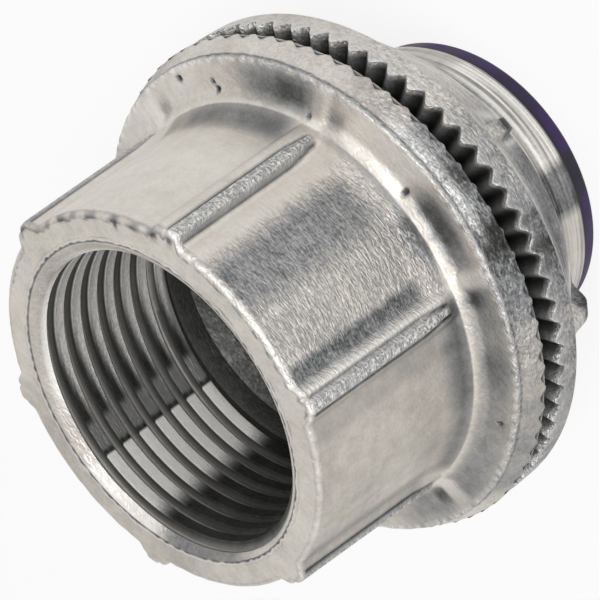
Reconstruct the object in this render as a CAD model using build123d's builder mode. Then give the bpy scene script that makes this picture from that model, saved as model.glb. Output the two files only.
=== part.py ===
from build123d import *
import os
from math import hypot, pi

# Insulated conduit hub, 3/4 inch trade size, standing on its throat liner with the mouth up.
# The thread axis is Z, and Z is 0 at the liner's end. All sizes are in millimetres.

# The trade size sets the nipple's thread, and the other radii are walls and steps counted from it
nipple_radius = 13.2
thread_depth = 0.85

# Heights of the casting, from the mouth down to the nipple's end
barrel_length = 16.4
flange_thickness = 2.55
nipple_length = 16.35

# Mouth: internal thread drawn at its crests, then the rough cast bore down to the conduit stop
mouth_wall = 3.35
mouth_chamfer = 1.0
mouth_chamfer_depth = 1.2
mouth_thread_length = 13.75
mouth_edge = 0.35
cast_bore_step = 0.2
cast_bore_draft = 0.15
stop_depth = 16.0
stop_slope = 0.8

# Barrel and its ribs
barrel_draft = 0.6
rib_count = 6
rib_height = 0.9
rib_top_width = 1.9
rib_flank_draft = 0.33
rib_run_out = 0.8
rib_edge_round = 0.3

# Rounded collar where the barrel flares into the flange
collar_width = 0.8
collar_height = 0.7
collar_round = 0.4
flare_length = 1.5
flare_round = 4.0

# Flange: flat front face, narrow step, tapered rim, serrated back face
rim_taper = 0.8
step_height = 0.35
step_width = 0.15
face_slope = 0.2
gusset_height = 0.6
gusset_outer_height = 0.2
gusset_width = 2.2

# Radial V serrations on the flange and on the locknut
tooth_count = 72
tooth_length = 4.4
tooth_land_share = 0.07
flange_tooth_depth = 0.5
flange_tooth_angle = 4.5
nut_tooth_depth = 0.95
nut_tooth_angle = 3.0

# Nipple: external thread drawn at its crests, with a snap-in seat for the liner
nipple_wall = 1.9
nipple_chamfer = 0.25
seat_ledge = 0.7
seat_depth = 7.6
snap_depth = 0.3
snap_width = 1.2
snap_distance = 3.5

# Sealing ring in the recess of the flange's back face
recess_width = 3.8
recess_depth = 1.5
ring_proud = 0.25
ring_clearance = 0.1

# Locknut: serrated rim, conical back and paired spanner lugs
nut_gap = 1.4
nut_setback = 0.05
nut_rim_length = 2.35
nut_wall = 2.8
nut_cone_length = 7.0
nut_edge_round = 0.4
thread_clearance = 0.05
thread_lead_in = 0.4
lug_pairs = 3
lug_pair_angle = 6.0
lug_pair_spread = 46.0
lug_width = 1.1
lug_height = 1.4
lug_round = 0.8
lug_crown_share = 0.43

# Throat liner: end flange over the nipple's end, bell mouth and sleeve
liner_setback = 0.4
liner_flange_length = 1.8
liner_gap = 0.1
liner_wall = 0.9
liner_fit = 0.1
bell_radius = 1.6
liner_edge_round = 0.4

# Heights worked out from the sizes above
nipple_end = liner_flange_length + liner_gap
flange_back = nipple_end + nipple_length
flange_face = flange_back + flange_thickness
mouth_top = flange_face + barrel_length
stop_height = mouth_top - stop_depth
thread_end = mouth_top - mouth_thread_length
recess_top = flange_back + recess_depth
seat_top = nipple_end + seat_depth
snap_height = nipple_end + snap_distance
nut_tips = flange_back - nut_gap
nut_land = nut_tips - nut_tooth_depth
nut_rim_back = nut_tips - nut_rim_length
nut_end = nut_rim_back - nut_cone_length
collar_top = flange_face + collar_height
flare_top = collar_top + flare_length
rib_foot = collar_top + rib_run_out

# Radii worked out from the sizes above
mouth_bore_radius = nipple_radius - thread_depth
barrel_radius = mouth_bore_radius + mouth_wall
barrel_root_radius = barrel_radius + barrel_draft
collar_radius = barrel_root_radius + collar_width
tooth_inner_radius = nipple_radius + recess_width
flange_radius = tooth_inner_radius + tooth_length
face_outer_radius = flange_radius - rim_taper - step_width
seat_radius = nipple_radius - nipple_wall
throat_radius = seat_radius - seat_ledge
nut_radius = flange_radius - nut_setback
nut_bore_radius = nipple_radius + thread_clearance
nut_boss_radius = nipple_radius + nut_wall
sleeve_radius = seat_radius - liner_fit
liner_bore_radius = sleeve_radius - liner_wall
liner_flange_radius = nipple_radius - liner_setback

os.makedirs("parts", exist_ok=True)


def half_section(corners):
    """Closed half-section from corners given as (radius, height, corner round)."""
    with BuildSketch(Plane.XY) as section:
        with BuildLine():
            FilletPolyline(
                [(radius, height) for radius, height, _ in corners],
                radius=[corner_round for _, _, corner_round in corners],
                close=True,
            )
        make_face()
    return section.sketch


def groove_outline(radius, outer_radius, tips, depth):
    """One V groove's section at a radius: all but its opening side grows with the radius."""
    half_width = pi * radius / tooth_count * (1 - tooth_land_share)
    depth_here = depth * radius / outer_radius
    return [
        (-half_width, tips - depth),
        (half_width, tips - depth),
        (half_width, tips),
        (0, tips + depth_here),
        (-half_width, tips),
    ]


# One V groove for the flange's back face, cut upwards from the tooth tips
with BuildPart() as flange_groove:
    for groove_radius in (tooth_inner_radius / 2, flange_radius + tooth_length):
        with BuildSketch(Plane.YZ.offset(groove_radius)):
            upright = groove_outline(groove_radius, flange_radius, flange_back, flange_tooth_depth)
            Polygon(*upright, align=None)
    loft(ruled=True)
    split(bisect_by=Plane.YZ.offset(tooth_inner_radius - recess_width / 2), keep=Keep.TOP)

# One V groove for the locknut's front face: the same form, turned over and cut downwards
with BuildPart() as nut_groove:
    for groove_radius in (tooth_inner_radius / 2, nut_radius + tooth_length):
        with BuildSketch(Plane.YZ.offset(groove_radius)):
            upright = groove_outline(groove_radius, nut_radius, 0, nut_tooth_depth)
            Polygon(*[(across, nut_tips - up) for across, up in reversed(upright)], align=None)
    loft(ruled=True)
    split(bisect_by=Plane.YZ.offset(tooth_inner_radius - recess_width / 2), keep=Keep.TOP)

# One rib, standing in the barrel's wall and leaning outwards with its draft
rib_length = mouth_top - rib_foot
rib_radius = barrel_radius + rib_height
rib_inner = barrel_radius - rib_height
half_foot = rib_top_width / 2 + rib_flank_draft * (rib_radius - rib_inner)
with BuildPart() as rib:
    with BuildSketch(Plane.XY.offset(mouth_top)) as rib_outline:
        Polygon(
            (rib_inner, -half_foot),
            (rib_radius, -rib_top_width / 2),
            (rib_radius, rib_top_width / 2),
            (rib_inner, half_foot),
            align=None,
        )
        fillet(rib_outline.vertices().sort_by(Axis.X)[-2:], rib_edge_round)
    extrude(amount=hypot(rib_length, barrel_draft), dir=(barrel_draft, 0, -rib_length))
    with BuildSketch(Plane.XZ):
        Polygon(
            (rib_radius - mouth_edge, mouth_top),
            (rib_radius + mouth_edge, mouth_top),
            (rib_radius + mouth_edge, mouth_top - 2 * mouth_edge),
            align=None,
        )
    revolve(axis=Axis.Z, mode=Mode.SUBTRACT)

# One low gusset that carries a rib's line across the flange's front face
gusset_inner = collar_radius - collar_width
gusset_root = (recess_top + flange_face) / 2
with BuildPart() as gusset:
    with BuildSketch(Plane.XZ):
        Polygon(
            (gusset_inner, gusset_root),
            (face_outer_radius, gusset_root),
            (face_outer_radius, flange_face - face_slope),
            (face_outer_radius - gusset_height, flange_face + gusset_outer_height),
            (gusset_inner, flange_face + gusset_height),
            align=None,
        )
    extrude(amount=gusset_width / 2, both=True)

# Hub body: one die casting, from the threaded mouth to the nipple's end
with BuildPart() as hub_body:
    with BuildSketch(Plane.XZ):
        add(
            half_section(
                [
                    (mouth_bore_radius + mouth_chamfer, mouth_top, 0),
                    (mouth_bore_radius, mouth_top - mouth_chamfer_depth, 0),
                    (mouth_bore_radius, thread_end, 0),
                    (mouth_bore_radius - cast_bore_step, thread_end - cast_bore_step, 0),
                    (mouth_bore_radius - cast_bore_step - cast_bore_draft, stop_height, 0),
                    (throat_radius, stop_height - stop_slope, 0),
                    (throat_radius, seat_top, 0),
                    (seat_radius, seat_top, 0),
                    (seat_radius, snap_height + snap_width / 2, 0),
                    (seat_radius + snap_depth, snap_height + snap_width / 2 - snap_depth, 0),
                    (seat_radius + snap_depth, snap_height - snap_width / 2 + snap_depth, 0),
                    (seat_radius, snap_height - snap_width / 2, 0),
                    (seat_radius, nipple_end, 0),
                    (nipple_radius - nipple_chamfer, nipple_end, 0),
                    (nipple_radius, nipple_end + nipple_chamfer, 0),
                    (nipple_radius, recess_top, 0),
                    (tooth_inner_radius, recess_top, 0),
                    (tooth_inner_radius, flange_back, 0),
                    (flange_radius, flange_back, 0),
                    (flange_radius - rim_taper, flange_face - face_slope - step_height, 0),
                    (face_outer_radius, flange_face - face_slope, 0),
                    (collar_radius, flange_face, 0),
                    (collar_radius, collar_top, collar_round),
                    (barrel_root_radius, flare_top, flare_round),
                    (barrel_radius, mouth_top - mouth_edge, 0),
                    (barrel_radius - mouth_edge, mouth_top, 0),
                ]
            )
        )
    revolve(axis=Axis.Z)
    with PolarLocations(0, rib_count):
        add(rib.part)
        add(gusset.part)
    with PolarLocations(0, tooth_count, start_angle=flange_tooth_angle):
        add(flange_groove.part, mode=Mode.SUBTRACT)
hub_body.part.label = "hub_body"
export_step(hub_body.part, "parts/hub_body.step")

# Sealing ring: elastomer, held in the recess and standing proud of the tooth tips
with BuildPart() as sealing_ring:
    with BuildSketch(Plane.XZ):
        add(
            half_section(
                [
                    (nipple_radius + ring_clearance, flange_back - ring_proud, 0),
                    (tooth_inner_radius - ring_clearance, flange_back - ring_proud, 0),
                    (tooth_inner_radius - ring_clearance, recess_top - ring_clearance, 0),
                    (nipple_radius + ring_clearance, recess_top - ring_clearance, 0),
                ]
            )
        )
    revolve(axis=Axis.Z)
sealing_ring.part.label = "sealing_ring"
export_step(sealing_ring.part, "parts/sealing_ring.step")

# One spanner lug: a short hump that stands on the locknut's conical back
cone_slope = (nut_radius - nut_boss_radius) / nut_cone_length
lug_crown_height = nut_end + nut_cone_length * lug_crown_share
lug_crown_radius = nut_boss_radius + cone_slope * (lug_crown_height - nut_end) + lug_height
lug_foot_radius = nut_radius - nut_edge_round
lug_root_radius = nut_boss_radius - lug_height / 2
lug_end_height = lug_crown_height - lug_height
with BuildPart() as lug:
    with BuildSketch(Plane.XZ):
        add(
            half_section(
                [
                    (lug_root_radius, nut_rim_back, 0),
                    (lug_foot_radius, nut_rim_back, 0),
                    (lug_crown_radius, lug_crown_height, lug_round),
                    (lug_crown_radius - lug_height, lug_end_height, 0),
                    (lug_root_radius, lug_end_height - lug_height / 2, 0),
                ]
            )
        )
    extrude(amount=lug_width / 2, both=True)

# Locknut: die-cast ring, serrated to bite the enclosure, with a conical back
with BuildPart() as locknut:
    with BuildSketch(Plane.XZ):
        add(
            half_section(
                [
                    (nut_bore_radius + thread_lead_in, nut_land, 0),
                    (tooth_inner_radius, nut_land, 0),
                    (tooth_inner_radius, nut_tips, 0),
                    (nut_radius, nut_tips, 0),
                    (nut_radius, nut_rim_back, nut_edge_round),
                    (nut_boss_radius, nut_end, nut_edge_round),
                    (nut_bore_radius + thread_lead_in, nut_end, 0),
                    (nut_bore_radius, nut_end + thread_lead_in, 0),
                    (nut_bore_radius, nut_land - thread_lead_in, 0),
                ]
            )
        )
    revolve(axis=Axis.Z)
    for side in (-1, 1):
        with PolarLocations(0, lug_pairs, start_angle=lug_pair_angle + side * lug_pair_spread / 2):
            add(lug.part)
    with PolarLocations(0, tooth_count, start_angle=nut_tooth_angle):
        add(nut_groove.part, mode=Mode.SUBTRACT)
locknut.part.label = "locknut"
export_step(locknut.part, "parts/locknut.step")

# Throat liner: moulded, snapped into the nipple, smooth for the conductors
with BuildPart() as throat_liner:
    with BuildSketch(Plane.XZ):
        add(
            half_section(
                [
                    (liner_bore_radius + bell_radius, 0, 0),
                    (liner_flange_radius, 0, liner_edge_round),
                    (liner_flange_radius, liner_flange_length, 0),
                    (sleeve_radius, liner_flange_length, 0),
                    (sleeve_radius, snap_height - snap_width / 2, 0),
                    (sleeve_radius + snap_depth, snap_height - snap_width / 2 + snap_depth, 0),
                    (sleeve_radius + snap_depth, snap_height + snap_width / 2 - snap_depth, 0),
                    (sleeve_radius, snap_height + snap_width / 2, 0),
                    (sleeve_radius, seat_top - liner_fit, 0),
                    (liner_bore_radius, seat_top - liner_fit, 0),
                    (liner_bore_radius, bell_radius, bell_radius),
                ]
            )
        )
    revolve(axis=Axis.Z)
throat_liner.part.label = "throat_liner"
export_step(throat_liner.part, "parts/throat_liner.step")
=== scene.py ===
import math

import bpy
import bmesh
import numpy as np
from mathutils import Matrix, Vector


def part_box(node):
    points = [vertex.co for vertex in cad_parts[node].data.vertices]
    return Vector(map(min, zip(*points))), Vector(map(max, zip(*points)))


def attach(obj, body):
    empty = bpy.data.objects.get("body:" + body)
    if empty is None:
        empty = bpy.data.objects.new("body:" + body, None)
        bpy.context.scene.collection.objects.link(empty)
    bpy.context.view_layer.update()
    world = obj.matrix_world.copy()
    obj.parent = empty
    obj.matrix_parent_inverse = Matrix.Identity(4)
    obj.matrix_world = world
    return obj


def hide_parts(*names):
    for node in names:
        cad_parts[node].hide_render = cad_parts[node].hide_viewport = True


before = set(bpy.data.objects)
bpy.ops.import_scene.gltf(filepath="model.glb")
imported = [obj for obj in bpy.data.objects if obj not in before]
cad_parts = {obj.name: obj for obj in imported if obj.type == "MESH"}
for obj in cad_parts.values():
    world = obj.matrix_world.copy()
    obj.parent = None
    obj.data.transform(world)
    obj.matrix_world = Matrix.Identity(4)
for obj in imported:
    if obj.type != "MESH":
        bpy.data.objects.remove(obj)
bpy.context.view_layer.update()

# Sizes are in millimetres until a mesh is finished, and angles are in degrees about the thread axis
MM = 0.001


def node_box_mm(node):
    """A CAD node's lowest and highest corners, in millimetres."""
    low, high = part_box(node)
    return [value / MM for value in low], [value / MM for value in high]


hub_low, hub_high = node_box_mm("hub_body")
nut_low, nut_high = node_box_mm("locknut")
liner_low, liner_high = node_box_mm("throat_liner")

# Heights and radii that the frame gives
mouth_top = hub_high[2]
nipple_end = hub_low[2]
nut_tips = nut_high[2]
nut_end = nut_low[2]
nut_radius = nut_high[0]
liner_flange_radius = liner_high[0]

# Thread of the trade size: 14 to the inch, right-handed
thread_pitch = 25.4 / 14
nipple_crest_radius = 13.2
nipple_root_radius = 12.35
nipple_chamfer = 0.1
nipple_chamfer_slope = 1.5
nipple_blunt_start = 1.2
nipple_blunt_end = 3.8
mouth_crest_radius = 12.35
mouth_root_radius = 12.95
mouth_crest_angle = 86.5
mouth_crest_height = 29.7
thread_seam = 0.01

# Forms over one pitch, from the middle of one crest to the next: the shares of the pitch, and the values there
mouth_groove_form = (0, 0.24, 0.38, 0.6, 0.76, 1.0), (0, 0, 1, 1, 0, 0)
mouth_flank_form = (0, 0.24, 0.28, 0.72, 0.76, 1.0), (0, 0, 1, 1, 0, 0)
mouth_root_form = (0.36, 0.42, 0.52, 0.6), (0, 1, 1, 0)
mouth_nick_form = (0, 0.24, 0.28, 0.72, 0.76, 1.0), (0.3, 1, 0, 0, 1, 0.3)
mouth_thread_rows = (0, 0.24, 0.28, 0.38, 0.43, 0.5, 0.6, 0.72, 0.76)
mouth_crest_start = 0.76
mouth_crest_width = 0.48
nipple_ridge_form = (0, 0.22, 0.44, 0.56, 0.78, 1.0), (0, 0, 1, 1, 0, 0)
nipple_thread_rows = (0, 0.11, 0.22, 0.33, 0.44, 0.56, 0.67, 0.78, 0.89)

# Hub casting, as the part's solids have it
barrel_length = 16.4
flange_thickness = 2.55
flange_setback = 0.02
mouth_thread_length = 13.75
stop_depth = 16.0
mouth_chamfer = 1.0
mouth_chamfer_depth = 0.75
cast_bore_radius = 12.15
stop_bore_radius = 12.0
barrel_radius = 15.7
barrel_draft = 0.6
mouth_edge_round = 0.4
rib_height = 0.72
rib_half_width = 0.75
rib_flank = 0.95
collar_radius = 17.12
collar_height = 0.7
flare_height = 3.6
flare_curve = 2.2
face_outer_radius = 20.45
face_slope = 0.2
step_width = 0.15
step_height = 0.35
recess_depth = 1.5
seat_depth = 7.6
throat_radius = 10.6
seat_radius = 11.3
neck_height_above_back = 0.2

flange_radius = hub_high[0] - flange_setback
flange_face = mouth_top - barrel_length
flange_back = flange_face - flange_thickness
thread_end = mouth_top - mouth_thread_length
stop_height = mouth_top - stop_depth
flare_start = flange_face + flare_height
recess_top = flange_back + recess_depth
seat_top = nipple_end + seat_depth

# Rough strips on the ribs, which narrow and run out towards the flange, and the fine groove on each side of them
strip_height = 0.24
strip_half_width = 0.48
strip_end = flange_face + 1.35
strip_taper_length = 3.2
strip_narrowest = 0.45
strip_run_out = 0.45
strip_edge_inside = 0.08
strip_edge_outside = 0.12
strip_groove_offset = 0.2
strip_groove_width = 0.13
strip_groove_depth = 0.1

# Low ridges and the collar's rounded foot on the flange's face. A ridge's crown and foot are shares of its half width
gusset_half_width = 0.75
gusset_height = 0.32
gusset_crown = 0.4
gusset_foot = 1.5
gusset_fall = 0.6
gusset_run_out = 0.7
foot_width = 1.0
foot_inside = 0.15
face_pit_depth = 0.22

# Radial serrations of the flange and the locknut. Their flanks are part straight and part a soft wave
tooth_count = 72
tooth_inner_radius = 17.0
tooth_straightness = 0.3
flange_tooth_depth = 0.5
flange_groove_angle = 4.5
flange_tooth_radii = (20.5, 19.6, 18.3)
nut_tooth_depth = 0.95
nut_groove_angle = 3.0
nut_tooth_radii = (18.0, 19.0, 20.0, 20.7, 21.1)
nut_tooth_wear_start = 20.6
nut_burr = 0.05

# Locknut
nut_setback = 0.01
nut_rim_length = 2.55
nut_rim_round = 0.2
nut_boss_radius = 16.0
nut_bore_radius = 13.25
nut_lead_in = 0.4
lug_pairs = 3
lug_pair_angle = 6.0
lug_pair_spread = 46.0
lug_half_width = 0.55
lug_crown_height = nut_end + 3.0
lug_height = 1.4

# Throat liner
liner_bore_radius = 10.3
liner_sleeve_radius = 11.2
liner_flange_length = 1.8
liner_edge_round = 0.4
liner_chamfer = 0.1
bell_radius = 1.6

# Each rib's angle on the barrel, how far its rough strip lies off its middle, in millimetres, and the angle of the
# ridge that carries it across the flange
ribs = (
    (-2.5, -0.2, -2.5),
    (57.5, 0.2, 57.5),
    (119.5, -0.2, 119.5),
    (178.5, 0.3, 178.5),
    (-118.8, -0.15, -114.6),
    (-61.8, -0.6, -61.8),
)

# Pits and scars of the casting on the flange's face: angle, radius, and half the width
face_pits = (
    (-29, 18.0, 0.3),
    (-28, 18.6, 0.25),
    (-17, 19.6, 0.35),
    (-59.5, 17.6, 0.22),
    (-90, 17.8, 0.3),
    (-152, 19.2, 0.2),
)

# How finely the skins are divided
fine_columns = 720
bore_columns = 360
thread_columns = 180
liner_columns = 240


def angles(columns):
    """The angles of one ring's points, in radians."""
    return np.arange(columns) * 2 * math.pi / columns


def unit(value):
    """Holds a value between 0 and 1."""
    return np.clip(value, 0, 1)


def smoothstep(low, high, value):
    """0 below low, 1 above high, and a smooth rise between them."""
    share = unit((value - low) / (high - low))
    return share * share * (3 - 2 * share)


def band(value, start, full, fade, end):
    """0 up to start, 1 from full to fade, and 0 again from end."""
    return smoothstep(start, full, value) * (1 - smoothstep(fade, end, value))


def hump(value, middle, width):
    """1 at the middle and near 0 at two widths from it."""
    return np.exp(-(((value - middle) / width) ** 2))


def angle_from(turn, centre_degrees, repeats=1):
    """Signed angle in radians from the nearest of the repeats of a centre angle."""
    period = 2 * math.pi / repeats
    return (turn - math.radians(centre_degrees) + period / 2) % period - period / 2


def ragged(turn, low, high, seed):
    """An uneven wave round the axis, about -1 to 1, with low to high swings in a turn."""
    chance = np.random.default_rng(seed)
    swings = np.arange(low, high)
    phases = chance.uniform(0, 2 * math.pi, len(swings))
    sizes = chance.uniform(0.4, 1, len(swings))
    wave = (sizes[:, None] * np.cos(swings[:, None] * turn + phases[:, None])).sum(axis=0)
    return wave / np.sqrt((sizes**2).sum()) / 1.6


def spot(turn, degrees, half_width, fade):
    """1 within half_width degrees of an angle, and 0 beyond fade degrees more."""
    off = np.abs(np.degrees(angle_from(turn, degrees)))
    return 1 - smoothstep(half_width, half_width + fade, off)


def spots(turn, rows):
    """The sum of several spots. A row has a spot's strength, its angle, its half width and its fade."""
    return sum(strength * spot(turn, degrees, half_width, fade) for strength, degrees, half_width, fade in rows)


def between(start, end, steps):
    """Evenly spaced values from start to end, both included."""
    return [start + (end - start) * step / (steps - 1) for step in range(steps)]


# The marks that each point of a skin carries, from 0 to 1: how dark it is, from its finish and from painted shade, how
# bright it is from wear and painted highlights, how grainy it is, and how clearly fine lines run round it
skin_marks = ("tone", "wear_and_highlight", "coarse", "turned")


class Skin:
    """A surface made of rings about the thread axis, in millimetres, whose points carry the marks of its finish and its
    painted light and shade.
    """

    def __init__(self):
        self.rows = []
        self.marks = []
        self.faces = []
        self.count = 0

    def add(self, radius, height, turn, tone=0.2, wear_and_highlight=0, coarse=0.15, turned=0):
        """Adds points given by radius, height and angle, and returns their numbers."""
        radius, height, turn, *marks = np.broadcast_arrays(radius, height, turn, tone, wear_and_highlight, coarse, turned)
        self.rows.append(np.stack([radius * np.cos(turn), radius * np.sin(turn), height], axis=-1))
        self.marks.append(np.stack(marks, axis=-1))
        numbers = np.arange(self.count, self.count + len(turn))
        self.count += len(turn)
        return numbers

    def bridge(self, first, second):
        """Joins two rings. Where one has more points, they fan on to the other's."""
        if len(first) < len(second):
            first, second = second, first
        ratio = len(first) // len(second)
        if ratio == 1:
            self.faces += np.stack([first, np.roll(first, -1), np.roll(second, -1), second], axis=1).tolist()
            return
        for number, corner in enumerate(second):
            following = second[(number + 1) % len(second)]
            for step in range(ratio):
                start = number * ratio + step
                near = corner if step < ratio // 2 else following
                self.faces.append([first[start], first[(start + 1) % len(first)], near])
            middle = first[number * ratio + ratio // 2]
            self.faces.append([middle, following, corner])

    def chain(self, rings):
        """Bridges each ring to the next and returns the last."""
        for first, second in zip(rings, rings[1:]):
            self.bridge(first, second)
        return rings[-1]

    def thread(self, low_ring, high_ring, low, high, crest_height, radius_at, shares, marks_at):
        """Helical rows between two flat rings, with a crest at crest_height where the angle is 0.
        """
        turn = angles(len(low_ring))
        rise = thread_pitch * turn / (2 * math.pi)
        first_crest = low - thread_pitch - (low - crest_height) % thread_pitch
        rows = []
        while True:
            share = shares[len(rows) % len(shares)]
            height = first_crest + thread_pitch * (len(rows) // len(shares) + share) + rise
            held = np.clip(height, low, high)
            rows.append(self.add(radius_at(turn, held, share), held, turn, *marks_at(turn, held, share)))
            if height[0] > high and share == 0:
                break
        ahead = len(shares)
        for lower, upper in zip(rows, rows[1:]):
            self.faces += np.stack([lower[:-1], lower[1:], upper[1:], upper[:-1]], axis=1).tolist()
        for row in range(len(rows) - 1 - ahead):
            self.faces.append([rows[row][-1], rows[row + ahead][0], rows[row + 1 + ahead][0], rows[row + 1][-1]])
        self.bridge(low_ring, rows[0])
        self.bridge(rows[-1], high_ring)

    def finish(self, name, sharp_degrees=40):
        """Makes the mesh object, in metres, with outward normals and sharp edges kept."""
        mesh = bpy.data.meshes.new(name)
        points = np.concatenate(self.rows) * MM
        mesh.from_pydata(points.tolist(), [], [list(map(int, face)) for face in self.faces])
        marks = np.concatenate(self.marks)
        for column, mark in enumerate(skin_marks):
            mesh.attributes.new(mark, "FLOAT", "POINT").data.foreach_set("value", marks[:, column].astype(np.float32))
        work = bmesh.new()
        work.from_mesh(mesh)
        bmesh.ops.remove_doubles(work, verts=work.verts, dist=0.0005 * MM)
        bmesh.ops.dissolve_degenerate(work, edges=work.edges, dist=0.0002 * MM)
        bmesh.ops.recalc_face_normals(work, faces=work.faces)
        work.to_mesh(mesh)
        work.free()
        mesh.shade_smooth()
        mesh.set_sharp_from_angle(angle=math.radians(sharp_degrees))
        made = bpy.data.objects.new(name, mesh)
        bpy.context.scene.collection.objects.link(made)
        return made


# Outlines that several rings share, and the finish that goes with them


def tooth_wave(turn, groove_angle):
    """0 on a tooth's tip and 1 in the bottom of a groove."""
    inward = 1 - np.abs(angle_from(turn, groove_angle, tooth_count)) * tooth_count / math.pi
    return tooth_straightness * inward + (1 - tooth_straightness) * smoothstep(0, 1, inward)


def rib_shape(turn, radius, height):
    """How far the ribs stand out of the barrel, and where their rough strips and the grooves beside them run."""
    rise, strip, groove = 0, 0, 0
    taper = smoothstep(strip_end, strip_end + strip_taper_length, height)
    width = strip_half_width * (strip_narrowest + (1 - strip_narrowest) * taper)
    begun = smoothstep(strip_end, strip_end + strip_run_out, height)
    for degrees, offset, ridge_degrees in ribs:
        across = angle_from(turn, degrees) * radius
        base = 1 - smoothstep(rib_half_width, rib_half_width + rib_flank, np.abs(across))
        off = np.abs(across - offset)
        on_strip = (1 - smoothstep(width - strip_edge_inside, width + strip_edge_outside, off)) * begun
        in_groove = hump(off - width, strip_groove_offset, strip_groove_width) * begun
        rise = rise + rib_height * base + strip_height * on_strip - strip_groove_depth * in_groove
        strip = strip + on_strip
        groove = groove + in_groove
    return rise, strip, groove


def barrel_outside(turn, height):
    """The barrel's outer radius with its draft, flare and ribs."""
    draft = barrel_draft * (mouth_top - height) / (mouth_top - flare_start)
    plain = barrel_radius + draft
    flare_share = unit((flare_start - height) / (flare_start - flange_face - collar_height))
    flared = plain + (collar_radius - plain) * flare_share**flare_curve
    rise = rib_shape(turn, plain, height)[0]
    return flared + np.maximum(rise - (flared - plain), 0)


# Painted shade in dark clouds on the barrel between its ribs, painted light and shade that tint it, the painted shade
# in the grooves beside the strips, and grit, as spots
barrel_shade_spots = (
    (0.44, -84, 4, 8),
    (0.5, -111.8, 1.3, 3.0),
    (0.2, -174, 2, 5),
    (0.16, -101, 6, 6),
    (0.5, 30, 8, 8),
    (0.55, 148, 6, 8),
    (0.15, -146, 20, 14),
)
barrel_light_and_shade = ((0.1, -126.5, 2, 4), (-0.07, -22, 28, 12))
barrel_tone = 0.13
flare_shade_tone = 0.55
strip_tone = 0.62
strip_groove_shade_tone = 0.65
strip_wear = 0.42
lip_width = 0.7
barrel_grit = ((0.5, -95, 19, 5), (0.4, 30, 12, 6), (0.4, 148, 12, 6))

# Patches of painted shade low on the flare: where each fades out, from the flare's start, and its spots
flare_shade_patches = (
    (-1.6, 0.4, ((1, -33, 20, 8), (-0.35, -14, 5, 6))),
    (-2.4, -0.4, ((0.75, -146, 25, 6),)),
    (-2.6, -1.0, ((0.6, -108, 10, 8),)),
    (-1.4, 0, ((0.3, -95, 5, 12), (0.35, -137, 6, 9), (0.22, -78, 8, 8))),
)


def barrel_marks(turn, height):
    """Finish of the barrel: painted shade in clouds facing the front and low on the flare, a painted highlight on the
    lip and on one rib's flank, and rough bright strips on the ribs with painted shade in the grooves beside them.
    """
    strip, groove = rib_shape(turn, barrel_radius + 0.3, height)[1:]
    patches = 0
    for low, high, patch_spots in flare_shade_patches:
        patches = patches + spots(turn, patch_spots) * (1 - smoothstep(flare_start + low, flare_start + high, height))
    collar_top = flange_face + collar_height
    lip = 1 - smoothstep(collar_top, collar_top + lip_width, height)
    above_flare = smoothstep(flare_start - 1.9, flare_start + 0.1, height)
    tone = barrel_tone + spots(turn, barrel_shade_spots) * above_flare + flare_shade_tone * patches + spots(turn, barrel_light_and_shade)
    # The grooves beside the rough strips are painted dark, the shade in them
    tone = tone * (1 - unit(strip)) + strip_tone * strip + strip_groove_shade_tone * groove
    # The collar's lip is painted lighter, its highlight, and darker near -86 degrees, its shade
    tone = unit(tone) * (1 - 0.2 * lip) + 0.3 * lip * spot(turn, -86, 18, 8)
    # A painted highlight runs down one rib's flank near -115.6 degrees
    wear_and_highlight = unit(strip_wear * strip + 0.3 * spot(turn, -115.6, 1.2, 1.2))
    coarse = unit(0.08 + spots(turn, barrel_grit) * (1 - lip) + strip)
    return tone, wear_and_highlight, coarse


# Pits at the mouth face's outer edge, beside the end of the uppermost rib that the photo shows, painted as dark spots
# for the shade in them
mouth_pit_shade = ((1, -58.4, 0.6, 0.8), (1, -63.6, 0.5, 0.7), (1, -44, 0.3, 0.6))

# Scars near the same edge, where the flash was broken off
mouth_scars = ((1, -92, 30, 6), (0.8, -20, 36, 8))


def collar_foot(radius):
    """How far the collar's rounded foot stands above the flange's face."""
    return collar_height * (1 - smoothstep(collar_radius - foot_inside, collar_radius + foot_width, radius))


def gusset_rise(turn, radius):
    """Low ridges that carry the ribs' lines across the flange's face."""
    ridge = 0
    for degrees, offset, ridge_degrees in ribs:
        across = np.abs(angle_from(turn, ridge_degrees) * radius)
        ridge = ridge + 1 - smoothstep(gusset_half_width * gusset_crown, gusset_half_width * gusset_foot, across)
    run = 1 - smoothstep(face_outer_radius - gusset_run_out, face_outer_radius + 0.05, radius)
    outward = (radius - collar_radius) / (face_outer_radius - collar_radius)
    return ridge * run * gusset_height * (1 - gusset_fall * outward)


def pit_share(turn, radius):
    """Small pits of the casting in the flange's face: 0 on the face and 1 in the bottom of a pit."""
    depth = 0
    for degrees, distance, half_width in face_pits:
        off = np.hypot(angle_from(turn, degrees) * radius, radius - distance)
        depth = depth + 1 - smoothstep(half_width * 0.4, half_width * 1.3, off)
    return depth


# Spots of painted shade and painted light on the flange's face, painted shade and highlight on the sides of one gusset,
# the painted shadow on one side of each gusset, and the painted shade in the pits
face_shade_spots = (
    (0.36, -50, 6, 12),
    (0.36, -102.5, 5, 9),
    (0.22, -128, 8, 14),
    (0.3, 176, 9, 16),
    (0.35, 42, 5, 14),
    (0.35, 96, 5, 14),
    (0.14, -54, 3, 5),
    (0.2, -150, 12, 10),
    (0.16, -100, 4, 5),
)
face_light_spots = ((-0.22, -80, 7, 5), (-0.12, -5, 20, 14))
gusset_side_light_and_shade = ((0.17, -61, 0.8, 2), (-0.14, -58.6, 0.7, 2))
gusset_shadow = 0.3
gusset_shadow_angle = -4.8
face_tone = 0.26
pit_shade_tone = 0.8


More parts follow.
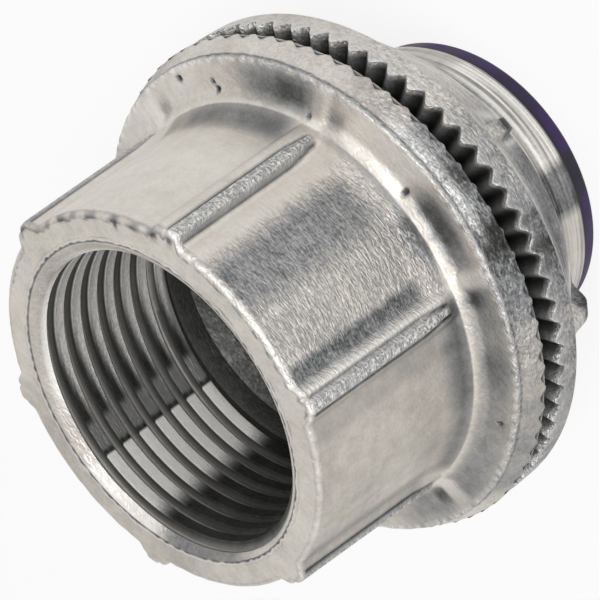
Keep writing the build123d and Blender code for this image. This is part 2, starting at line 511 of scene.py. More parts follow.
def face_marks(turn, radius):
    """Finish of the flange's face: painted shade between the ribs, a painted highlight over the gussets and the
    collar's foot with painted shade on the foot near -84 degrees, painted shade in the pits, and a bright worn and
    highlit outer edge.
    """
    clouds = spots(turn, face_shade_spots) * smoothstep(17.2, 18.1, radius) * (1 - 0.6 * smoothstep(19.2, 20.4, radius))
    beside = spots(turn, gusset_side_light_and_shade) * band(radius, 17.4, 18.2, 19.5, 20.3)
    for degrees, offset, ridge_degrees in ribs:
        shadow = gusset_shadow * spot(turn, ridge_degrees + gusset_shadow_angle, 0.5, 3.2)
        beside = beside + shadow * band(radius, 17.3, 18.1, 18.2, 19.9)
    light = unit(gusset_rise(turn, radius) / 0.3)
    foot = 1 - smoothstep(collar_radius, collar_radius + 0.5, radius)
    plain = face_tone + spots(turn, face_light_spots) - 0.16 * spot(turn, -95, 12, 8) * smoothstep(19.0, 19.8, radius)
    tone = (plain + clouds) * (1 - 0.6 * light) * (1 - 0.4 * foot) + beside + pit_shade_tone * pit_share(turn, radius)
    tone = tone + 0.22 * foot * spot(turn, -84, 16, 8)
    edge = smoothstep(face_outer_radius - 0.45, face_outer_radius - 0.1, radius)
    uneven = unit(0.5 + 0.7 * ragged(turn, 60, 160, 5))
    return unit(tone), unit(0.2 * light + 0.08 * foot + 0.6 * edge * uneven), 0.2 + 0.4 * edge


# Tone of the flange's rounded rim, and its spots of painted shade
rim_tone = 0.15
rim_shade_spots = (
    (0.3, -98, 12, 9),
    (0.34, -114, 7, 8),
    (0.3, 20, 25, 20),
    (0.26, -118, 46, 14),
    (0.12, -164, 6, 10),
    (-0.1, -15, 10, 10),
)


def rim_marks(turn, share):
    """Finish of the flange's rounded rim: streaks and speckle, with painted shade darkest to the right of the front,
    and a bright band of wear and painted highlight along its top near -92 degrees.
    """
    streak = unit(ragged(turn, 12, 40, 9))
    tone = unit(rim_tone + spots(turn, rim_shade_spots) * (0.75 + 0.5 * streak))
    wear_and_highlight = 0.55 * spot(turn, -92, 10, 9) * (1 - smoothstep(0.2, 0.5, share))
    return tone, wear_and_highlight, 0.35 + 0.25 * spot(turn, -105, 25, 15)


def mouth_thread_radius(turn, height, share):
    """Wall of the tapped mouth: wide crests, narrow roots, opened by the mouth's chamfer."""
    depth = mouth_root_radius - mouth_crest_radius
    groove = np.interp(share, *mouth_groove_form)
    run_in = smoothstep(thread_end, thread_end + thread_pitch, height)
    crest = cast_bore_radius + (mouth_crest_radius - cast_bore_radius) * run_in
    threaded = crest + groove * depth * run_in
    chamfer = mouth_crest_radius + mouth_chamfer * (height - mouth_top + mouth_chamfer_depth) / mouth_chamfer_depth
    return np.maximum(threaded, chamfer)


# The mouth thread's painted light and shade: tones where nothing lights it, and its dark wedge of painted shade, with
# where it starts before the parting line, how much further back it starts at a crest's outer edge, and how far it fades
# to each side
unlit_tone = 0.95
root_light = 0.75
nick_tone = 0.3
wedge_start = -15
wedge_widening = -23
wedge_fade_back = 16
wedge_fade_ahead = 9

# Tone of the chamfer at the mouth, and its spots of painted light and shade
chamfer_tone = 0.3
chamfer_light_and_shade = ((-0.25, 103, 12, 12), (-0.1, -160, 25, 25), (0.3, 142, 12, 12))


def mouth_thread_marks(turn, height, share):
    """Finish of the mouth thread: crests with painted highlights on one side of the die's parting line and painted
    shade in a wedge on the other, painted light on the roots, a nick in each crest at the line, and a painted highlight
    on the chamfer."""
    begun = smoothstep(thread_end + 0.05, thread_end + 0.5, height)
    crest = (1 - np.interp(share, *mouth_flank_form)) * begun
    root = np.interp(share, *mouth_root_form) * begun
    outward = min(((share - mouth_crest_start) % 1) / mouth_crest_width, 1)
    past = np.degrees(angle_from(turn, mouth_crest_angle))
    bright = band(past, 0.4, 1.4, 22, 36)
    wedge = wedge_start + wedge_widening * outward
    light = 1 - smoothstep(wedge - wedge_fade_back, wedge + wedge_fade_ahead, past)
    nick = (1 - smoothstep(0.5, 1.3, np.abs(past + 0.4))) * np.interp(share, *mouth_nick_form)
    beside = spot(turn, mouth_crest_angle - 6, 4, 4)
    lit = (0.95 - 0.25 * (1 - outward)) * bright + (0.93 - 0.2 * outward) * light
    painted_highlight = (1.0 + 0.35 * outward) * bright + (1.15 - 0.65 * outward) * light + 0.1 * beside
    tone = unlit_tone - crest * (lit + 0.38 * beside) - root * root_light + nick_tone * nick
    wear_and_highlight = crest * painted_highlight + root * (0.4 + 0.2 * unit(bright + light))
    chamfer_low = mouth_top - mouth_chamfer_depth
    chamfer = smoothstep(chamfer_low - 0.15, chamfer_low + 0.1, height)
    tone = tone * (1 - chamfer) + (chamfer_tone + spots(turn, chamfer_light_and_shade)) * chamfer
    wear_and_highlight = wear_and_highlight * (1 - chamfer) + 0.45 * chamfer * spot(turn, 103, 12, 10)
    coarse = 0.06 + 0.14 * (1 - bright) * crest + 0.25 * chamfer * spot(turn, 103, 16, 20)
    return unit(tone), unit(wear_and_highlight - nick), coarse


def nipple_thread_radius(turn, height, share):
    """Wall of the nipple's thread, blunt at its free end and run out under the flange."""
    depth = nipple_crest_radius - nipple_root_radius
    ridge = 1 - np.interp(share, *nipple_ridge_form)
    run_out = 1 - smoothstep(flange_back - thread_pitch, flange_back, height)
    blunt = smoothstep(nipple_end + nipple_blunt_start, nipple_end + nipple_blunt_end, height)
    threaded = nipple_crest_radius - (1 - ridge) * depth * run_out * blunt
    return np.minimum(threaded, nipple_crest_radius - nipple_chamfer + (height - nipple_end) * nipple_chamfer_slope)


def nipple_marks(turn, height, share):
    """Finish of the nipple's thread: fine cut lines round it, under a painted highlight near -84 degrees, with painted
    shade in its grooves, in two faint spots and in one dark stretch.
    """
    groove = np.interp(share, *nipple_ridge_form)
    dark = 0.42 * spot(turn, -117, 8, 2)
    bright = 0.25 + 0.75 * spot(turn, -84, 22, 6)
    tone = 0.08 + 0.12 * groove + dark + spots(turn, ((0.16, -45, 9, 8), (0.08, -130, 8, 6)))
    return unit(tone), bright * (1 - 2.3 * dark), 0.12 + 0.5 * dark, 0.5 + 0.5 * bright


# Burr along the mouth's inner edge. Each ring has its distance from the edge, how far the burr swings it, its depth
# below the top, its tone, how far the burr swings that, how much wear and painted highlight it has, and how coarse it
# is
mouth_burr_rings = (
    (0.02, 0.03, 0.1, 0.6, 0, 0, 0.2),
    (0.1, 0.06, 0.06, 0.72, 0.2, 0, 0.2),
    (0.24, 0.08, 0.015, 0.2, 0, 0.2, 0.3),
    (0.45, 0.05, 0.05, 0.3, 0, 0, 0.2),
)


# Where the rings of the mouth's face lie between its edges, and those of the flange's rim down from its top
mouth_face_shares = (0.2, 0.4, 0.6, 0.76, 0.86, 0.95)
rim_shares = (0.1, 0.22, 0.35, 0.5, 0.65, 0.8, 0.92)
rim_roundness = 1.3

# Swings of the casting's uneven edges, in millimetres
face_wave = 0.03
flash_swell = 0.05
step_wave = 0.05
rim_wave = 0.03


def mouth_rings(skin, turn, inner):
    """Rings of the mouth's face, from the burr along its inner edge to its rounded outer edge with the flash line."""
    rings = []
    burr = ragged(turn, 20, 120, 1)
    for off, swing, drop, tone, tone_swing, wear_and_highlight, coarse in mouth_burr_rings:
        ring_radius = inner + off + swing * burr
        rings.append(skin.add(ring_radius, mouth_top - drop, turn, tone + tone_swing * burr, wear_and_highlight, coarse))
    outer = barrel_outside(turn, mouth_top) - mouth_edge_round
    wave = face_wave * ragged(turn, 8, 30, 2) - 0.05
    scar = unit(ragged(turn, 25, 120, 7) + 0.3) * spots(turn, mouth_scars)
    for share in mouth_face_shares:
        pits = spots(turn, mouth_pit_shade) * smoothstep(0.7, 0.86, share)
        # The face is painted a little darker near 100 degrees, its shade, and dark in the pits, the shade in them
        tone = 0.2 + 0.1 * spot(turn, 100, 30, 30) + 0.45 * scar * smoothstep(0.86, 0.93, share) + 0.5 * pits
        rings.append(skin.add(inner + (outer - inner) * share, mouth_top + wave, turn, tone, 0, 0.16))

    edge_height = mouth_top - mouth_edge_round
    edge_radius = barrel_outside(turn, edge_height) - mouth_edge_round
    flash = np.clip(ragged(turn, 14, 90, 3), -1, 1)
    flashed = spot(turn, -92, 27, 5)
    # A painted highlight along the middle of the rounded edge, strongest where it is flashed, and painted shade along
    # its top round -28 degrees
    painted_highlight = unit(0.15 + 0.25 * flash + (0.6 + 0.3 * flash) * flashed)
    edge_shade = unit(0.4 + 0.8 * ragged(turn, 10, 70, 8)) * spot(turn, -28, 30, 6)
    swell = flash_swell * flash * (0.4 + 0.6 * flashed)
    for step in between(0, 90, 5):
        lean = math.radians(step)
        out = mouth_edge_round * math.sin(lean) + swell * math.sin(2 * lean)
        up = mouth_edge_round * math.cos(lean) - 0.06 + swell * math.sin(2 * lean)
        line = math.sin(2 * lean) ** 2
        tone = 0.28 - 0.1 * line + 0.5 * edge_shade * math.cos(lean)
        rings.append(skin.add(edge_radius + out, edge_height + up, turn, tone, painted_highlight * line, 0.3 + 0.35 * flashed))
    return rings


def build_hub():
    """Hub casting: mouth thread, ribbed barrel, serrated flange, threaded nipple and throat."""
    skin = Skin()
    turn = angles(fine_columns)
    bore_turn = angles(bore_columns)
    thread_turn = angles(thread_columns)

    # Mouth face and the barrel with its ribs
    inner = mouth_crest_radius + mouth_chamfer
    rings = mouth_rings(skin, turn, inner)
    barrel_start = mouth_top - mouth_edge_round - 0.3
    barrel_heights = between(barrel_start, flare_start, 14)
    flare_heights = between(flare_start - 0.25, flange_face + collar_height, 13)
    for height in barrel_heights + flare_heights:
        rings.append(skin.add(barrel_outside(turn, height), height, turn, *barrel_marks(turn, height)))

    # Rounded foot of the collar, then the flange's face with its gussets, step and rounded rim
    foot_radii = between(collar_radius + 0.1, collar_radius + foot_width, 7)
    face_radii = between(collar_radius + 1.2, face_outer_radius, 10)
    for radius in foot_radii + face_radii:
        slope = face_slope * (radius - collar_radius) / (face_outer_radius - collar_radius)
        standing = np.maximum(collar_foot(radius), gusset_rise(turn, radius))
        height = flange_face - slope + standing - face_pit_depth * pit_share(turn, radius)
        rings.append(skin.add(radius, height, turn, *face_marks(turn, radius)))
    step_top = flange_face - face_slope
    rim_inner = face_outer_radius + step_width
    uneven = step_wave * ragged(turn, 30, 140, 4)
    step_radius = face_outer_radius + step_width * 0.7 + uneven
    # The step is painted dark, the shade in it, with a bright painted line at its edge
    rings.append(skin.add(step_radius, step_top - step_height * 0.3, turn, 0.5, 0.3, 0.8))
    rings.append(skin.add(rim_inner + uneven, step_top - step_height, turn, 0.62, 0, 0.6))
    rim_drop = step_top - step_height - flange_back
    wave = rim_wave * (ragged(turn, 30, 110, 6) - 1)
    for share in rim_shares:
        radius = rim_inner + (flange_radius - rim_inner) * math.sin(math.radians(90 * share)) ** rim_roundness
        height = step_top - step_height - rim_drop * share
        rings.append(skin.add(radius + wave, height, turn, *rim_marks(turn, share)))

    # Serrated back face, the recess for the sealing ring and the nipple's neck
    # The teeth are painted darker into their grooves, the shade in them, with a faint painted highlight on their tips
    wave = tooth_wave(turn, flange_groove_angle)
    for radius in (flange_radius - 0.02, *flange_tooth_radii, tooth_inner_radius):
        depth = flange_tooth_depth * radius / flange_radius
        rings.append(skin.add(radius, flange_back + depth * wave, turn, 0.55 + 0.35 * wave, 0.1 * (1 - wave), 0.3))
    rings.append(skin.add(tooth_inner_radius, recess_top, turn))
    rings.append(skin.add(nipple_crest_radius, recess_top, thread_turn))
    neck_height = flange_back + neck_height_above_back
    neck = skin.add(nipple_crest_radius, neck_height, thread_turn)
    skin.chain(rings + [neck])

    # Nipple thread, its end face, the throat and the conduit stop
    end_face = skin.add(nipple_crest_radius - nipple_chamfer, nipple_end, thread_turn)
    low, high = nipple_end + thread_seam, neck_height - thread_seam
    skin.thread(end_face, neck, low, high, low, nipple_thread_radius, nipple_thread_rows, nipple_marks)
    # The throat, the conduit stop and the cast bore below the thread are painted dark, the shade deep inside the hub
    low_ring = skin.add(cast_bore_radius, thread_end - 0.1, bore_turn, 0.7, 0, 0.15)
    skin.chain(
        [
            end_face,
            skin.add(seat_radius, nipple_end, thread_turn),
            skin.add(seat_radius, seat_top, thread_turn),
            skin.add(throat_radius, seat_top, thread_turn, 0.6),
            skin.add(throat_radius, stop_height - 1.1, thread_turn, 1, 0, 0.3),
            skin.add(throat_radius + 0.3, stop_height - 0.7, thread_turn, 0.95, 0, 0.3),
            skin.add(stop_bore_radius - 0.5, stop_height - 0.1, thread_turn, 0.9, 0, 0.3),
            skin.add(stop_bore_radius, stop_height + 0.3, bore_turn, 0.85, 0, 0.3),
            skin.add(cast_bore_radius, thread_end - 0.5, bore_turn, 0.76, 0, 0.15),
            low_ring,
        ]
    )

    # Mouth thread up to the mouth's rim, with a crest where the photo shows one
    crest_height = mouth_crest_height - thread_pitch * mouth_crest_angle / 360
    low, high = thread_end, mouth_top - 0.11
    rim = skin.add(inner - 0.02, mouth_top - 0.08, bore_turn, *mouth_thread_marks(bore_turn, mouth_top, 0))
    skin.thread(low_ring, rim, low, high, crest_height, mouth_thread_radius, mouth_thread_rows, mouth_thread_marks)
    skin.bridge(rim, rings[0])
    return skin.finish("hub_casting")


def from_lugs(turn):
    """The angles in radians from the nearest lug of each side of the pairs."""
    return [angle_from(turn, lug_pair_angle + side * lug_pair_spread / 2, lug_pairs) for side in (-1, 1)]


def lug_rise(turn, height, cone_radius):
    """Paired humps that stand on the locknut's conical back."""
    rise = np.zeros_like(turn)
    low, high = lug_crown_height - lug_height - 0.4, nut_tips - nut_rim_length
    run = band(height, low, lug_crown_height, lug_crown_height + 0.4, high)
    for off in from_lugs(turn):
        rise = rise + (1 - smoothstep(lug_half_width - 0.1, lug_half_width + 0.25, np.abs(off) * cone_radius))
    return lug_height * rise * run


# Tone of the locknut's rim and of its conical back, and their spots of painted shade
nut_rim_tone = 0.19
nut_cone_tone = 0.2
nut_rim_shade_spots = ((0.34, -104, 14, 12), (0.25, 30, 30, 25), (0.34, -142, 28, 12))
nut_cone_shade_spots = ((0.25, 60, 20, 20), (0.14, -97, 14, 12), (0.08, -130, 12, 10))


def nut_rim_marks(turn, share):
    """Finish of the locknut's rim: light at the upper left, with painted shade, grey and speckled, round the right."""
    streak = unit(ragged(turn, 10, 60, 21))
    tone = unit(nut_rim_tone + spots(turn, nut_rim_shade_spots) * (0.75 + 0.45 * streak))
    return tone, 0.12 * (1 - share), 0.45 + 0.25 * spot(turn, -105, 35, 20)


def nut_cone_marks(turn, share):
    """Finish of the locknut's conical back: turned-looking streaks, painted shade in spots and over the lugs, and
    painted highlights beside them.
    """
    streak = 0.05 * math.sin(share * 31) + 0.1 * ragged(turn + share * 0.4, 4, 24, 23)
    dark = 0.4 * spot(turn, -112, 11, 9) * smoothstep(0.1, 0.4, share) + spots(turn, nut_cone_shade_spots)
    shaded, lit = 0, 0
    for off in map(np.degrees, from_lugs(turn)):
        shaded = shaded + hump(off, 0.2, 2.4)
        lit = lit + hump(off, -3.6, 0.8) + 0.7 * hump(off, 5.2, 1.6)
    run = band(share, 0.3, 0.5, 0.93, 1.0)
    tone = unit(nut_cone_tone + streak + dark + (0.8 * shaded - 0.15 * lit) * run)
    return tone, 0.4 * lit * run, 0.45 + 0.2 * spot(turn, -105, 25, 15)


def build_locknut():
    """Locknut: serrated front face, rim, conical back with lugs and boss."""
    skin = Skin()
    turn = angles(fine_columns)
    bore_turn = angles(thread_columns)
    wave = tooth_wave(turn, nut_groove_angle)
    rim_back = nut_tips - nut_rim_length
    land = nut_tips - nut_tooth_depth
    outer = nut_radius - nut_setback
    rings = [
        skin.add(nut_bore_radius, land - nut_lead_in, bore_turn),
        skin.add(nut_bore_radius + nut_lead_in, land, bore_turn),
        skin.add(tooth_inner_radius, land - 0.02, turn),
    ]

    # Teeth, which are worn and burred towards their outer ends, and painted darker into their grooves, the shade in
    # them
    burr = nut_burr * ragged(turn, 60, 200, 22)
    for radius in (tooth_inner_radius, *nut_tooth_radii, outer - 0.04):
        depth = nut_tooth_depth * radius / nut_radius
        edge = smoothstep(nut_tooth_wear_start, outer, radius)
        tone = 0.56 - 0.34 * edge + 0.45 * wave**1.4
        wear_and_highlight = unit(edge * (0.45 - 0.2 * wave + 5 * np.abs(burr)))
        drop = 0.05 + np.abs(burr) * edge
        rings.append(skin.add(radius, nut_tips - drop - (depth - 0.05) * wave, turn, tone, wear_and_highlight, 0.2 + 0.6 * edge))

    # Rim from the teeth's outer ends to its rounded back edge
    rim_top = nut_tips - 0.1 - nut_tooth_depth * wave
    for share in (0.06, 0.2, 0.4, 0.6, 0.8, 1.0):
        height = rim_top + (rim_back + nut_rim_round - rim_top) * share
        bright = unit(0.45 * (1 - share / 0.22)) * (0.3 + 12 * np.abs(burr))
        tone, wear_and_highlight, coarse = nut_rim_marks(turn, share)
        rings.append(skin.add(outer + np.minimum(burr, 0), height, turn, tone, unit(wear_and_highlight + bright), coarse))
    for lean in map(math.radians, (30, 60, 85)):
        radius = outer - nut_rim_round * (1 - math.cos(lean))
        height = rim_back + nut_rim_round - nut_rim_round * math.sin(lean)
        rings.append(skin.add(radius, height, turn, *nut_rim_marks(turn, 1)))

    # Conical back with its lugs, and the boss
    cone_top = nut_radius - 0.35
    for share in between(0, 1, 26):
        height = rim_back - 0.02 + (nut_end + 0.35 - rim_back) * share
        cone = cone_top + (nut_boss_radius + 0.2 - cone_top) * share
        lug = lug_rise(turn, height, cone)
        rings.append(skin.add(cone + lug, height, turn, *nut_cone_marks(turn, share)))
    rings.append(skin.add(nut_boss_radius, nut_end + 0.12, turn, *nut_cone_marks(turn, 1)))
    rings.append(skin.add(nut_boss_radius - 0.2, nut_end, turn, 0.45, 0, 0.45))
    rings.append(skin.add(nut_bore_radius + nut_lead_in, nut_end, bore_turn, 0.45, 0, 0.45))
    rings.append(skin.add(nut_bore_radius, nut_end + nut_lead_in, bore_turn))
    skin.chain(rings)
    skin.bridge(rings[-1], rings[0])
    return skin.finish("locknut_casting")


# Painted shade on the liner's end, and down its edge towards the casting: the depth below the flange's top, how dark
# the edge is there, and how much the painted shade adds
liner_shade = ((0.5, -80, 8, 4), (0.9, -115.5, 7, 2))
liner_edge_rows = ((0.1, 1, 0), (0.4, 0.75, 0.25), (0.75, 0.15, 0.85))


def build_liner():
    """Throat liner: end flange with rounded edges, bell mouth and sleeve."""
    skin = Skin()
    turn = angles(liner_columns)
    painted_shade = spots(turn, liner_shade)
    rings = [
        skin.add(liner_sleeve_radius, liner_flange_length, turn),
        skin.add(liner_flange_radius - liner_chamfer, liner_flange_length, turn, 1),
    ]
    for drop, dark, added in liner_edge_rows:
        rings.append(skin.add(liner_flange_radius, liner_flange_length - drop, turn, dark + added * painted_shade))
    for lean in map(math.radians, between(0, 90, 5)):
        radius = liner_flange_radius - liner_edge_round + liner_edge_round * math.cos(lean)
        height = liner_low[2] + liner_edge_round - liner_edge_round * math.sin(lean)
        rings.append(skin.add(radius, height, turn, painted_shade))
    for lean in map(math.radians, between(0, 90, 8)):
        radius = liner_bore_radius + bell_radius - bell_radius * math.sin(lean)
        height = liner_low[2] + bell_radius - bell_radius * math.cos(lean)
        rings.append(skin.add(radius, height, turn))
    rings.append(skin.add(liner_bore_radius, liner_high[2] - liner_chamfer, turn))
    rings.append(skin.add(liner_bore_radius + liner_chamfer, liner_high[2], turn))
    rings.append(skin.add(liner_sleeve_radius - liner_chamfer, liner_high[2], turn))
    rings.append(skin.add(liner_sleeve_radius, liner_high[2] - liner_chamfer, turn))
    skin.chain(rings)
    skin.bridge(rings[-1], rings[0])
    return skin.finish("throat_liner_moulding")


# Materials


def linear(hex_colour):
    """Linear RGBA from an sRGB hex colour such as b9b5ad."""
    values = [int(hex_colour[at:at + 2], 16) / 255 for at in (0, 2, 4)]
    return [v / 12.92 if v <= 0.04045 else ((v + 0.055) / 1.055) ** 2.4 for v in values] + [1.0]


def add_node(tree, kind, settings=None, **inputs):
    """Adds a shader node of a kind such as Math, sets its properties, and fills its inputs from values or sockets.
    An input goes by its name, or by an underscore and its number."""
    node = tree.nodes.new("ShaderNode" + kind)
    for name, value in (settings or {}).items():
        setattr(node, name, value)
    for name, value in inputs.items():
        key = int(name[1:]) if name[0] == "_" else name.replace("_", " ")
        socket = node.inputs[key]
        if isinstance(value, bpy.types.NodeSocket):
            tree.links.new(value, socket)
        else:
            socket.default_value = value
    return node


def new_material(name):
    """A material with only its output node, its tree and that node."""
    material = bpy.data.materials.new(name)
    material.use_nodes = True
    material.node_tree.nodes.clear()
    return material, material.node_tree, add_node(material.node_tree, "OutputMaterial")


def fineness(size_mm):
    """The scale at which a noise has features about this large."""
    return 1000 / size_mm


# The casting skin's colour from its lightest, at 0, to its darkest, at 1, which painted shade reaches as well as the
# skin's own dark patches
zinc_colours = (
    (0.0, "dcd7cf"),
    (0.2, "c8c2b9"),
    (0.33, "b2aca4"),
    (0.46, "9d9b98"),
    (0.62, "7f7f7e"),
    (0.8, "555552"),
    (1.0, "30312e"),
)


def cast_zinc(name):
    """Die-cast zinc alloy, left as cast: a dull metal skin, light and warm, darker where painted shade lies and
    blue-grey where it is grainy, with fine pits and grit, and bright where its edges are worn and where highlights are
    painted."""
    material, tree, output = new_material(name)
    place = add_node(tree, "TexCoord").outputs["Object"]
    tone, wear_and_highlight, coarse, turned = (
        add_node(tree, "Attribute", {"attribute_name": mark}).outputs["Fac"] for mark in skin_marks
    )

    # Clouds of the skin, its mottling, and a grit that is drawn a little coarser than the real grain so that it shows
    clouds = add_node(tree, "TexNoise", Vector=place, Scale=fineness(5), Detail=2.0).outputs["Fac"]
    mottle = add_node(tree, "TexNoise", Vector=place, Scale=fineness(1.1), Detail=4.0).outputs["Fac"]
    grit = add_node(tree, "TexNoise", Vector=place, Scale=fineness(0.24), Detail=2.0).outputs["Fac"]
    along = add_node(tree, "VectorMath", {"operation": "MULTIPLY"}, _0=place, _1=(0.35, 0.6, 1.0)).outputs[0]
    streak = add_node(tree, "TexNoise", Vector=along, Scale=fineness(0.25), Detail=1.0, Distortion=0.7).outputs["Fac"]
    grit_swing = add_node(
        tree, "MapRange", Value=grit, From_Min=0.36, From_Max=0.64, To_Min=-0.5, To_Max=0.5
    ).outputs["Result"]
    grit_depth = add_node(tree, "Math", {"operation": "POWER"}, _0=coarse, _1=3.0).outputs[0]
    grit_depth = add_node(tree, "Math", {"operation": "MULTIPLY_ADD"}, _0=grit_depth, _1=0.65, _2=0.05).outputs[0]
    streak_swing = add_node(
        tree, "MapRange", Value=streak, From_Min=0.38, From_Max=0.62, To_Min=-0.5, To_Max=0.5
    ).outputs["Result"]
    mottle_swing = add_node(tree, "Math", {"operation": "SUBTRACT"}, _0=mottle, _1=0.5).outputs[0]
    mottle_depth = add_node(tree, "Math", {"operation": "MULTIPLY_ADD"}, _0=coarse, _1=0.08, _2=0.17).outputs[0]
    cloud_swing = add_node(tree, "Math", {"operation": "SUBTRACT"}, _0=clouds, _1=0.5).outputs[0]
    streak_depth = add_node(tree, "Math", {"operation": "MULTIPLY"}, _0=coarse, _1=-0.24).outputs[0]

    # How dark the skin is: its tone, and what each of these patterns adds
    dark = add_node(tree, "Math", {"operation": "MULTIPLY_ADD"}, _0=cloud_swing, _1=0.25, _2=tone).outputs[0]
    dark = add_node(tree, "Math", {"operation": "MULTIPLY_ADD"}, _0=mottle_swing, _1=mottle_depth, _2=dark).outputs[0]
    dark = add_node(tree, "Math", {"operation": "MULTIPLY_ADD"}, _0=grit_swing, _1=grit_depth, _2=dark).outputs[0]
    dark = add_node(tree, "Math", {"operation": "MULTIPLY_ADD"}, _0=streak_swing, _1=streak_depth, _2=dark).outputs[0]

    # Uneven lines of the cutting tool, about 0.3 mm apart, which run round the thread axis
    across = add_node(tree, "VectorMath", {"operation": "MULTIPLY"}, _0=place, _1=(0.02, 0.02, 1.0)).outputs[0]
    lines = add_node(tree, "TexNoise", Vector=across, Scale=fineness(0.3), Detail=1.0).outputs["Fac"]
    lines = add_node(
        tree, "MapRange", Value=lines, From_Min=0.36, From_Max=0.64, To_Min=0.0, To_Max=1.0
    ).outputs["Result"]
    lines = add_node(tree, "Math", {"operation": "MULTIPLY"}, _0=lines, _1=turned).outputs[0]
    dark = add_node(tree, "Math", {"operation": "MULTIPLY_ADD"}, _0=lines, _1=0.4, _2=dark).outputs[0]

    # The skin's colour, bluer where it is coarse, and near white and less metallic where it is worn and where
    # highlights are painted
    skin = add_node(tree, "ValToRGB", Fac=dark)
    ramp = skin.color_ramp
    for stop, (position, colour) in zip(ramp.elements, (zinc_colours[0], zinc_colours[-1])):
        stop.position = position
        stop.color = linear(colour)
    for position, colour in zinc_colours[1:-1]:
        ramp.elements.new(position).color = linear(colour)
    glint = add_node(tree, "Math", {"operation": "MULTIPLY"}, _0=grit_swing, _1=coarse).outputs[0]
    glint = add_node(tree, "Math", {"operation": "MULTIPLY_ADD"}, _0=glint, _1=2.0, _2=0.75).outputs[0]
    glint = add_node(tree, "Math", {"operation": "SUBTRACT"}, _0=glint, _1=lines).outputs[0]
    glint = add_node(tree, "Math", {"operation": "MULTIPLY", "use_clamp": True}, _0=glint, _1=wear_and_highlight).outputs[0]
    tinted = {"data_type": "RGBA", "blend_type": "MULTIPLY"}
    colour = add_node(tree, "Mix", tinted, _0=coarse, _6=skin.outputs["Color"], _7=linear("f2f5fd")).outputs[2]
    colour = add_node(tree, "Mix", {"data_type": "RGBA"}, _0=glint, _6=colour, _7=linear("f6f5f1")).outputs[2]

    # The lumps of the coarse skin stand up to about 0.1 mm proud, and its grit up to about 0.05 mm
    lumps = add_node(tree, "Math", {"operation": "ADD"}, _0=mottle, _1=streak_swing).outputs[0]
    lumps = add_node(tree, "Math", {"operation": "MULTIPLY"}, _0=lumps, _1=coarse).outputs[0]
    uneven = add_node(tree, "Bump", Strength=0.9, Distance=0.1 * MM, Height=lumps).outputs["Normal"]
    grain = add_node(tree, "Math", {"operation": "MULTIPLY"}, _0=grit_swing, _1=grit_depth).outputs[0]
    rough = add_node(tree, "Bump", Strength=0.9, Distance=0.08 * MM, Height=grain, Normal=uneven).outputs["Normal"]
    dullness = add_node(
        tree, "MapRange", Value=mottle, From_Min=0.3, From_Max=0.7, To_Min=0.46, To_Max=0.6
    ).outputs["Result"]
    bare = add_node(tree, "Math", {"operation": "MULTIPLY_ADD"}, _0=glint, _1=-0.7, _2=0.78).outputs[0]
    shader = add_node(tree, "BsdfPrincipled", Base_Color=colour, Metallic=bare, Roughness=dullness, Normal=rough)
    tree.links.new(shader.outputs["BSDF"], output.inputs["Surface"])
    return material


def moulded_nylon(name):
    """Injection-moulded nylon, dyed dark purple: a soft even shine over a faint pebble, and painted shade where it
    meets the casting."""
    material, tree, output = new_material(name)
    place = add_node(tree, "TexCoord").outputs["Object"]
    clouds = add_node(tree, "TexNoise", Vector=place, Scale=fineness(2.5), Detail=3.0).outputs["Fac"]
    colour = add_node(
        tree, "Mix", {"data_type": "RGBA"}, _0=clouds, _6=linear("210d3e"), _7=linear("341a54")
    ).outputs[2]
    # Painted shade, which the skin's tone carries, darkens it towards the casting
    painted_shade = add_node(tree, "Attribute", {"attribute_name": "tone"}).outputs["Fac"]
    colour = add_node(tree, "Mix", {"data_type": "RGBA"}, _0=painted_shade, _6=colour, _7=linear("0e0818")).outputs[2]
    pebble = add_node(tree, "TexNoise", Vector=place, Scale=fineness(0.3), Detail=2.0).outputs["Fac"]
    bumpy = add_node(tree, "Bump", Strength=0.5, Distance=0.03 * MM, Height=pebble).outputs["Normal"]
    dullness = add_node(
        tree, "MapRange", Value=clouds, From_Min=0.3, From_Max=0.7, To_Min=0.45, To_Max=0.6
    ).outputs["Result"]
    # A plain nylon has an IOR of 1.53, and the matt skin of this one gives back less
    shader = add_node(tree, "BsdfPrincipled", Base_Color=colour, Roughness=dullness, IOR=1.42, Normal=bumpy)
    tree.links.new(shader.outputs["BSDF"], output.inputs["Surface"])
    return material


def moulded_rubber(name):
    """Moulded nitrile rubber: near black and dull, with a faint bloom."""
    material, tree, output = new_material(name)
    place = add_node(tree, "TexCoord").outputs["Object"]
    bloom = add_node(tree, "TexNoise", Vector=place, Scale=fineness(1.5), Detail=4.0).outputs["Fac"]
    colour = add_node(tree, "Mix", {"data_type": "RGBA"}, _0=bloom, _6=linear("1b1b1c"), _7=linear("303031")).outputs[2]
    grain = add_node(tree, "TexNoise", Vector=place, Scale=fineness(0.25), Detail=2.0).outputs["Fac"]
    bumpy = add_node(tree, "Bump", Strength=0.5, Distance=0.03 * MM, Height=grain).outputs["Normal"]
    shader = add_node(tree, "BsdfPrincipled", Base_Color=colour, Roughness=0.65, IOR=1.52, Normal=bumpy)
    tree.links.new(shader.outputs["BSDF"], output.inputs["Surface"])
    return material


def set_material(piece, material):
    """Gives a piece one material."""
    piece.data.materials.clear()
    piece.data.materials.append(material)


hub = build_hub()
locknut = build_locknut()
liner = build_liner()

zinc = cast_zinc("die_cast_zinc")
set_material(hub, zinc)
set_material(locknut, zinc)
set_material(liner, moulded_nylon("purple_nylon"))
set_material(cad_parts["sealing_ring"], moulded_rubber("nitrile_rubber"))

for piece, node, body, slot in (
    (hub, "hub_body", "hub", "hub_casting"),
    (locknut, "locknut", "nut", "nut_casting"),
    (liner, "throat_liner", "hub", "liner_plastic"),
):
    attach(piece, body)
    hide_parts(node)

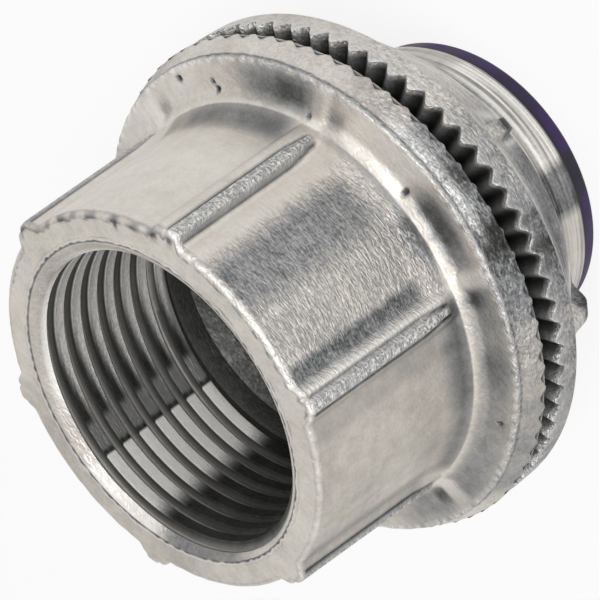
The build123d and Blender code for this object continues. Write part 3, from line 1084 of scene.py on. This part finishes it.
# Camera in the part's frame: where it stands, in millimetres, and which ways are right and up in its picture
camera_place = Vector((-18.67, -153.891, 136.935)) * MM
camera_right = Vector((-0.6333, -0.4150, -0.6533))
camera_up = Vector((0.7678, -0.4433, -0.4627))
camera_back = camera_right.cross(camera_up).normalized()
camera_data = bpy.data.cameras.new("photo_camera")
camera_data.sensor_width = 36
camera_data.lens = 150.54
camera_data.clip_start = 0.001
camera = bpy.data.objects.new("photo_camera", camera_data)
axes = Matrix((camera_right, camera_up, camera_back)).transposed().to_4x4()
camera.matrix_world = Matrix.Translation(camera_place) @ axes
bpy.context.scene.collection.objects.link(camera)
bpy.context.scene.camera = camera

# Studio, in metres: how far the floor reaches, how much of it glows where it is seen, how strongly the white world
# lights the object, and how far off the lamps stand
floor_reach = 3.0
floor_glow = 0.85
world_light = 0.46
light_distance = 0.6


def seen_directly(tree):
    """1 for the rays that the camera, a reflection or a view through glass sends out, and 0 for light."""
    path = add_node(tree, "LightPath").outputs
    seen = add_node(
        tree, "Math", {"operation": "MAXIMUM"}, _0=path["Is Camera Ray"], _1=path["Is Glossy Ray"]
    ).outputs[0]
    return add_node(tree, "Math", {"operation": "MAXIMUM"}, _0=seen, _1=path["Is Transmission Ray"]).outputs[0]


def add_floor():
    """Plain white floor that shows as the photo's white ground and still takes a soft shadow."""
    mesh = bpy.data.meshes.new("floor")
    corners = [(x * floor_reach, y * floor_reach, 0) for x, y in ((-1, -1), (1, -1), (1, 1), (-1, 1))]
    mesh.from_pydata(corners, [], [(0, 1, 2, 3)])
    floor = bpy.data.objects.new("floor", mesh)
    bpy.context.scene.collection.objects.link(floor)
    material, tree, output = new_material("white_floor")
    paper = add_node(tree, "BsdfDiffuse", Color=linear("f6f6f6"))
    glow = add_node(tree, "Emission", Color=linear("ffffff"), Strength=1.0)
    share = add_node(tree, "Math", {"operation": "MULTIPLY"}, _0=seen_directly(tree), _1=floor_glow).outputs[0]
    mix = add_node(tree, "MixShader", _0=share, _1=paper.outputs[0], _2=glow.outputs[0])
    tree.links.new(mix.outputs[0], output.inputs["Surface"])
    mesh.materials.append(material)


def add_world():
    """White world: at full strength where it is seen, and dimmer where it lights the object."""
    world = bpy.data.worlds.new("studio")
    world.use_nodes = True
    tree = world.node_tree
    sky = tree.nodes["Background"]
    sky.inputs["Color"].default_value = linear("ffffff")
    strength = add_node(
        tree, "Math", {"operation": "MULTIPLY_ADD"}, _0=seen_directly(tree), _1=1 - world_light, _2=world_light
    ).outputs[0]
    tree.links.new(strength, sky.inputs["Strength"])
    bpy.context.scene.world = world


def add_light(name, toward, size, power):
    """Soft white area light in a direction from the part, given on the camera's right, up and back."""
    direction = (camera_right * toward[0] + camera_up * toward[1] + camera_back * toward[2]).normalized()
    data = bpy.data.lights.new(name, "AREA")
    data.shape = "DISK"
    data.size = size
    data.energy = power
    light = bpy.data.objects.new(name, data)
    light.location = Vector((0, 0, mouth_top * MM / 2)) + direction * light_distance
    light.rotation_euler = direction.to_track_quat("Z", "Y").to_euler()
    bpy.context.scene.collection.objects.link(light)


add_floor()
add_world()
add_light("key", (0.45, 1.0, 0.6), 0.45, 3.6)
add_light("front", (-0.1, -0.15, 0.95), 0.22, 2.2)

bpy.context.scene.view_settings.view_transform = "Standard"


def plain(bounds):
    """A box as lists of numbers."""
    return [list(map(float, corner)) for corner in bounds]
